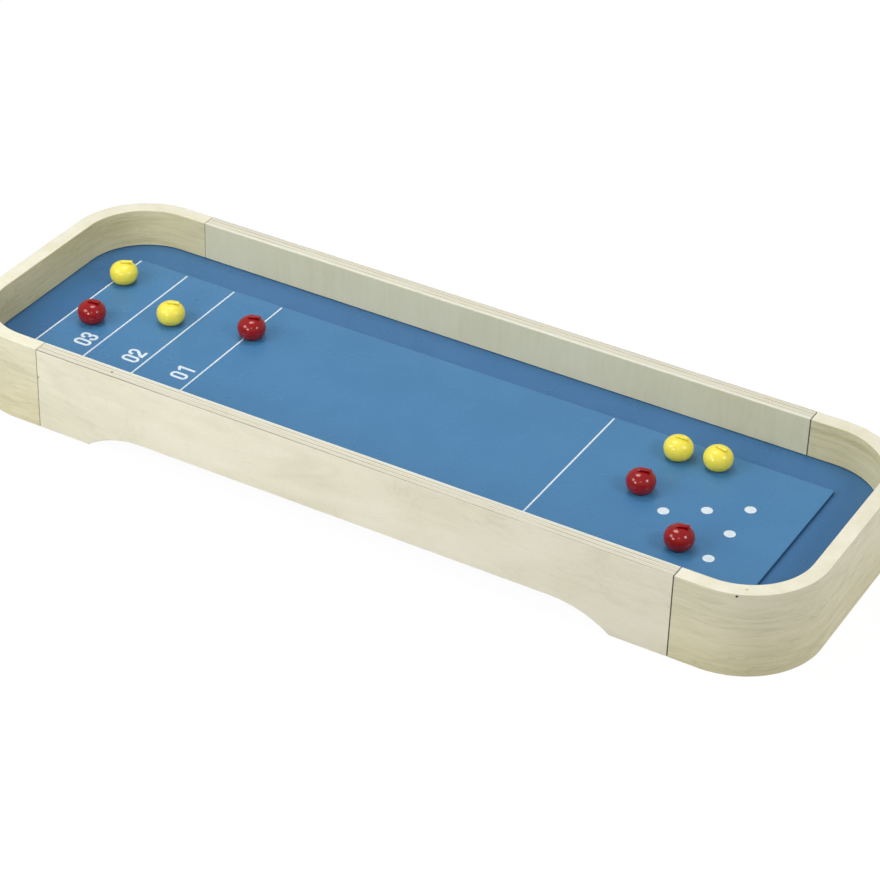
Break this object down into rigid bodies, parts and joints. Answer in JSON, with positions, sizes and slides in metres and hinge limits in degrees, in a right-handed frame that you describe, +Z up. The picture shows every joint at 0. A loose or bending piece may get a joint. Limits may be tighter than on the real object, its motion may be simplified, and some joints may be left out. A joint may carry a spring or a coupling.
{
  "type": "table curling game",
  "caption": "Long wooden tray with plywood rails, bentwood ends and a raised blue lane with printed zones; small handled stones roll on steel balls.",
  "frame": {"origin": "on the table plane under the middle of the tray", "axes": "+X along the lane towards the start line, +Y across to the far rail, +Z up"},
  "size_m": [0.85, 0.286, 0.0834],
  "materials": {
    "plywood": "satin clear lacquer, cut plies bare on the edges",
    "bentwood": "satin clear lacquer",
    "dowel_wood": "bare",
    "base_paint": "satin blue paint",
    "lane_paint": "satin blue paint",
    "print": "screen-printed ink",
    "red_plastic": "gloss",
    "yellow_plastic": "gloss",
    "ball_steel": "polished"
  },
  "bodies": {
    "tray": {"near_rail": "plywood", "far_rail": "plywood", "left_end": "bentwood", "right_end": "bentwood", "joint_dowels": "dowel_wood", "base_board": "base_paint", "lane_board": "lane_paint", "zone_lines": "print", "zone_numbers": "print", "house_dots": "print"},
    "red_1_roll": {"red_1_ball": "ball_steel"},
    "red_1_stone": {"red_1_cap": "red_plastic", "red_1_cup": "red_plastic"},
    "red_2_roll": {"red_2_ball": "ball_steel"},
    "red_2_stone": {"red_2_cap": "red_plastic", "red_2_cup": "red_plastic"},
    "red_3_roll": {"red_3_ball": "ball_steel"},
    "red_3_stone": {"red_3_cap": "red_plastic", "red_3_cup": "red_plastic"},
    "red_4_roll": {"red_4_ball": "ball_steel"},
    "red_4_stone": {"red_4_cap": "red_plastic", "red_4_cup": "red_plastic"},
    "yellow_1_roll": {"yellow_1_ball": "ball_steel"},
    "yellow_1_stone": {"yellow_1_cap": "yellow_plastic", "yellow_1_cup": "yellow_plastic"},
    "yellow_2_roll": {"yellow_2_ball": "ball_steel"},
    "yellow_2_stone": {"yellow_2_cap": "yellow_plastic", "yellow_2_cup": "yellow_plastic"},
    "yellow_3_roll": {"yellow_3_ball": "ball_steel"},
    "yellow_3_stone": {"yellow_3_cap": "yellow_plastic", "yellow_3_cup": "yellow_plastic"},
    "yellow_4_roll": {"yellow_4_ball": "ball_steel"},
    "yellow_4_stone": {"yellow_4_cap": "yellow_plastic", "yellow_4_cup": "yellow_plastic"}
  },
  "joints": [
    {"name": "red_1_travel", "type": "slide", "parent": "tray", "child": "red_1_roll", "axis": [1, 0, 0], "range_m": [-0.0204, 0.1416]},
    {"name": "red_1_spin", "type": "hinge", "parent": "red_1_roll", "child": "red_1_stone", "pos_m": [-0.3416, -0.0289, 0.0519], "axis": [0, 0, 1], "continuous": true},
    {"name": "red_2_travel", "type": "slide", "parent": "tray", "child": "red_2_roll", "axis": [1, 0, 0], "range_m": [-0.0048, 0.5592]},
    {"name": "red_2_spin", "type": "hinge", "parent": "red_2_roll", "child": "red_2_stone", "pos_m": [-0.2002, 0.0276, 0.0519], "axis": [0, 0, 1], "continuous": true},
    {"name": "red_3_travel", "type": "slide", "parent": "tray", "child": "red_3_roll", "axis": [1, 0, 0], "range_m": [-0.3709, 0.1381]},
    {"name": "red_3_spin", "type": "hinge", "parent": "red_3_roll", "child": "red_3_stone", "pos_m": [0.2209, -0.0022, 0.0519], "axis": [0, 0, 1], "continuous": true},
    {"name": "red_4_travel", "type": "slide", "parent": "tray", "child": "red_4_roll", "axis": [1, 0, 0], "range_m": [-0.6478, 0.0732]},
    {"name": "red_4_spin", "type": "hinge", "parent": "red_4_roll", "child": "red_4_stone", "pos_m": [0.2858, -0.0592, 0.0519], "axis": [0, 0, 1], "continuous": true},
    {"name": "yellow_1_travel", "type": "slide", "parent": "tray", "child": "yellow_1_roll", "axis": [1, 0, 0], "range_m": [-0.0041, 0.1079]},
    {"name": "yellow_1_spin", "type": "hinge", "parent": "yellow_1_roll", "child": "yellow_1_stone", "pos_m": [-0.3579, 0.0456, 0.0519], "axis": [0, 0, 1], "continuous": true},
    {"name": "yellow_2_travel", "type": "slide", "parent": "tray", "child": "yellow_2_roll", "axis": [1, 0, 0], "range_m": [-0.0839, 0.0381]},
    {"name": "yellow_2_spin", "type": "hinge", "parent": "yellow_2_roll", "child": "yellow_2_stone", "pos_m": [-0.2781, 0.0086, 0.0519], "axis": [0, 0, 1], "continuous": true},
    {"name": "yellow_3_travel", "type": "slide", "parent": "tray", "child": "yellow_3_roll", "axis": [1, 0, 0], "range_m": [-0.3757, 0.0023]},
    {"name": "yellow_3_spin", "type": "hinge", "parent": "yellow_3_roll", "child": "yellow_3_stone", "pos_m": [0.2257, 0.0613, 0.0519], "axis": [0, 0, 1], "continuous": true},
    {"name": "yellow_4_travel", "type": "slide", "parent": "tray", "child": "yellow_4_roll", "axis": [1, 0, 0], "range_m": [-0.0043, 0.0967]},
    {"name": "yellow_4_spin", "type": "hinge", "parent": "yellow_4_roll", "child": "yellow_4_stone", "pos_m": [0.2623, 0.0657, 0.0519], "axis": [0, 0, 1], "continuous": true}
  ]
}
